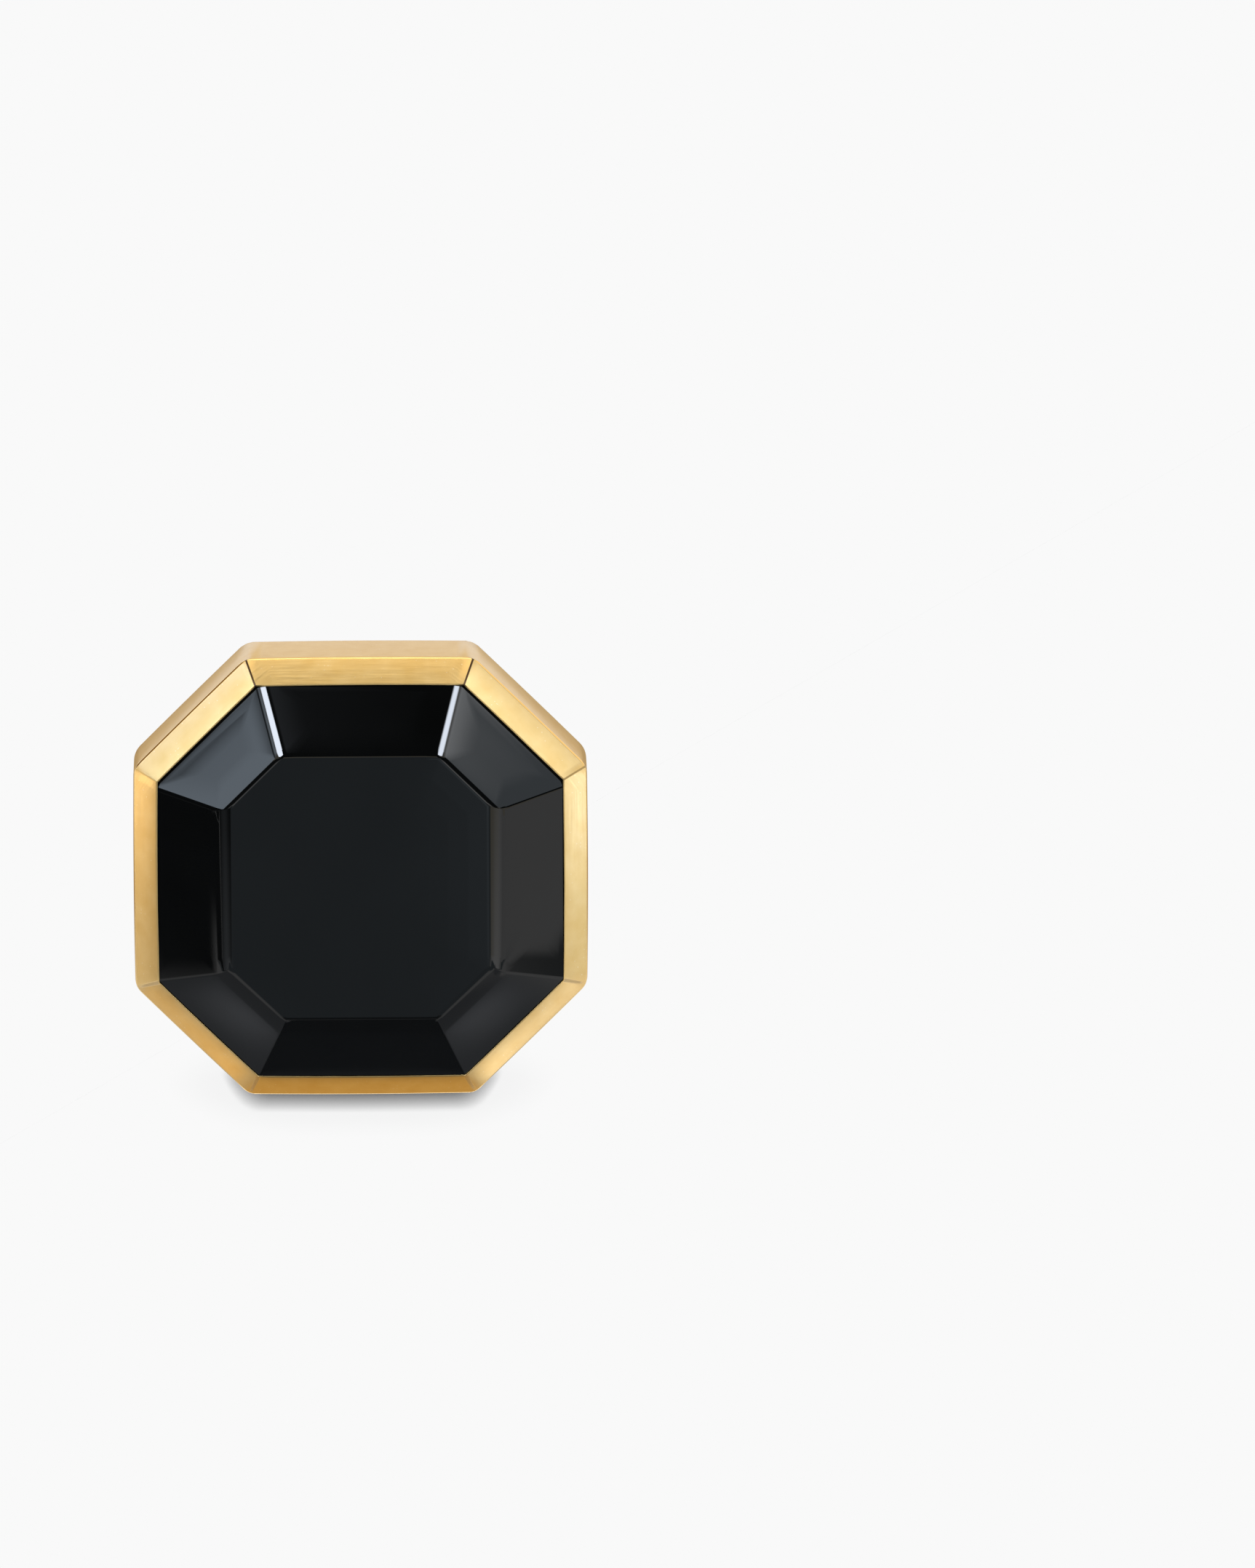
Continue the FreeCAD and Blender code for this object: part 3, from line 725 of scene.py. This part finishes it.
# Cards round the cufflink: azimuth and elevation in degrees, distance, width and height in metres, colour,
# strength, and the share of the card over which its edge fades.
for row in (
    ("front_card", 0, 10, 0.30, 0.16, 0.18, "#A3AFB8", 0.75, 0.3),
    ("front_right_card", 5, 7, 0.29, 0.05, 0.09, "#A3AFB8", 2.0, 1.0),
    ("high_dark", 0, 58, 0.34, 0.24, 0.36, "#1C1D1F", 1.0, 0.1),
    ("high_left_card", -16, 70, 0.29, 0.07, 0.07, "#A0A6AE", 1.0, 1.0),
    ("left_dark", -38, 16, 0.34, 0.38, 0.26, "#202226", 1.0, 0.1),
    ("right_dark", 38, 25, 0.34, 0.34, 0.18, "#202226", 1.0, 0.1),
    ("left_box", -61, 35.5, 0.30, 0.107, 0.074, "#D4E4F4", 4.6, 0.6),
    ("left_lamp_glow", -58, 47, 0.29, 0.06, 0.06, "#D4E4F4", 4.0, 1.0),
    ("left_side_box", -86, 40, 0.32, 0.10, 0.14, "#BBCFFF", 3.7, 0.5),
    ("left_side_dark", -70, 32, 0.36, 0.14, 0.18, "#202226", 1.0, 0.2),
    ("right_box", 66, 44, 0.30, 0.12, 0.09, "#EAEEF2", 2.9, 0.8),
    ("right_lamp_glow", 64, 42, 0.29, 0.07, 0.07, "#EAEEF2", 4.5, 1.0),
    ("right_side_box", 86, 40, 0.32, 0.10, 0.14, "#B2CDFF", 1.1, 0.5),
    ("right_side_card", 68, 33, 0.36, 0.16, 0.18, "#D0DCE6", 1.4, 0.2),
    ("left_strip", -24, -1, 0.20, 0.14, 0.034, "#B0B6BC", 1.4, 1.0),
    ("right_strip", 26, -1, 0.20, 0.16, 0.034, "#FFFFFF", 1.7, 1.0),
    ("left_table_strip", -17, 16, 0.28, 0.09, 0.09, "#FFFFFF", 1.8, 1.0),
    ("right_table_strip", 17, 16, 0.28, 0.09, 0.09, "#FFFFFF", 2.4, 1.0),
    ("left_low_box", -80, -2, 0.05, 0.018, 0.012, "#FFEBCB", 3.2, 0.5),
    ("right_low_box", 78, -4, 0.05, 0.018, 0.010, "#D4E6FF", 4.4, 0.5),
    ("back_low_card", 180, 1, 0.34, 0.30, 0.08, "#CDBA94", 1.0, 0.3),
    ("back_box", 180, 60, 0.30, 0.40, 0.07, "#FFFFFF", 2.6, 0.3),
    ("zenith_card", 180, 82, 0.30, 0.20, 0.05, "#FFE9BE", 2.7, 0.5),
    ("zenith_right_card", 46, 76, 0.29, 0.08, 0.06, "#FFE9BE", 3.6, 1.0),
    ("left_back_card", -122, 18, 0.30, 0.24, 0.16, "#6E4E22", 1.0, 0.3),
    ("right_back_card", 122, 18, 0.30, 0.24, 0.16, "#FFF2D8", 1.2, 0.3),
    ("left_lamp", -47, 56, 0.30, 0.056, 0.066, "#EAF2FF", 30.0, 0.3),
    ("right_lamp", 48, 55, 0.30, 0.066, 0.076, "#EAF2FF", 27.0, 0.6),
):
    card(*row)

# Sheets on the table, which only reflections show: painted shade and painted shadow round the cufflink, warm
# painted reflected light near its lower sides, and painted pools and glows of light. Columns: place in metres,
# turn in degrees, width and length in metres, colour, fading share, lift above the table, and strength where
# it isn't 1.
for row in (
    # Painted shade in front of the cufflink and its painted shadow behind it, then dark sheets of painted shade
    # further in front.
    ("front_shade", -0.002, -0.021, 0, 0.030, 0.026, "#A4A8AE", 0.3, 0.1 * mm),
    ("back_shade", 0, 0.018, 0, 0.070, 0.050, "#AE956C", 0.3, 0.1 * mm),
    ("far_front_sheet", 0, -0.185, 0, 0.120, 0.290, "#8F9AA2", 0.1, 0.2 * mm),
    ("front_sheet", 0, -0.070, 0, 0.018, 0.076, "#4A4E54", 0.3, 0.3 * mm),
    ("near_sheet", 0, -0.0240, 0, 0.009, 0.026, "#4A4E54", 0.1, 0.35 * mm),
    # Painted glow and warm painted shade along the bottom edge, warm painted reflected light by the lower sides,
    # and painted pools of light below the lower facets.
    ("edge_glow", 0, -0.0106, 0, 0.0105, 0.0006, "#FFF1D0", 0.3, 0.5 * mm, 1.6),
    ("bottom_glow", 0, -0.01135, 0, 0.010, 0.0011, "#C9AC74", 0.2, 0.45 * mm),
    ("lower_left_glow", -0.0084, -0.0114, 0, 0.008, 0.0014, "#FFE3B0", 0.3, 0.4 * mm),
    ("lower_right_glow", 0.0084, -0.0114, 0, 0.008, 0.0014, "#FFFFFF", 0.3, 0.4 * mm, 1.5),
    ("lower_left_pool", -0.0072, -0.0139, 0, 0.0070, 0.0036, "#E4E8F0", 1.0, 0.4 * mm),
    ("lower_right_pool", 0.0072, -0.0139, 0, 0.0070, 0.0036, "#E4E8F0", 1.0, 0.4 * mm),
    # Dark and grey sheets: painted shade on the table to the left and right.
    ("left_sheet", -0.139, -0.080, -60, 0.026, 0.300, "#202226", 0.3, 0.3 * mm),
    ("far_left_sheet", -0.130, -0.140, -43, 0.100, 0.240, "#202226", 0.2, 0.2 * mm),
    ("right_sheet", 0.037, -0.0214, 60, 0.026, 0.040, "#848789", 0.6, 0.3 * mm),
):
    floor_card(*row)

# Camera: a long lens in front, looking down on the leaning face. The photograph gives the face's width and
# the place of its centre in pixels, and a slight turn of the picture.
photo_width, photo_height = 1725, 2156
photo_face_width = 624.5
photo_place = (496.0, 1205.2)
photo_scale = photo_face_width / face_width
photo_tilt = math.radians(0.35)
view_above_face = math.radians(15.7)
camera_distance = 0.60
sensor_width = 36.0
camera_data = bpy.data.cameras.new("camera")
camera = bpy.data.objects.new("camera", camera_data)
bpy.context.scene.collection.objects.link(camera)
bpy.context.scene.camera = camera
frame_height = photo_height / photo_scale
camera_data.sensor_width = sensor_width
camera_data.lens = sensor_width * camera_distance / frame_height
camera_data.clip_end = 10
elevation = lean + view_above_face
back = Vector((0, -math.cos(elevation), math.sin(elevation)))
right_of_centre = (photo_place[0] - photo_width / 2) / photo_scale
below_centre = (photo_place[1] - photo_height / 2) / photo_scale
stand = Matrix.Translation(ridge_centre + back * camera_distance)
look = (-back).to_track_quat("-Z", "Y").to_matrix().to_4x4()
tilt = Matrix.Rotation(-photo_tilt, 4, "Z")
aside = Matrix.Rotation(math.atan(right_of_centre / camera_distance), 4, "Y")
down = Matrix.Rotation(math.atan(below_centre / camera_distance), 4, "X")
camera.matrix_world = stand @ look @ tilt @ aside @ down
bpy.context.scene.view_settings.view_transform = "Standard"
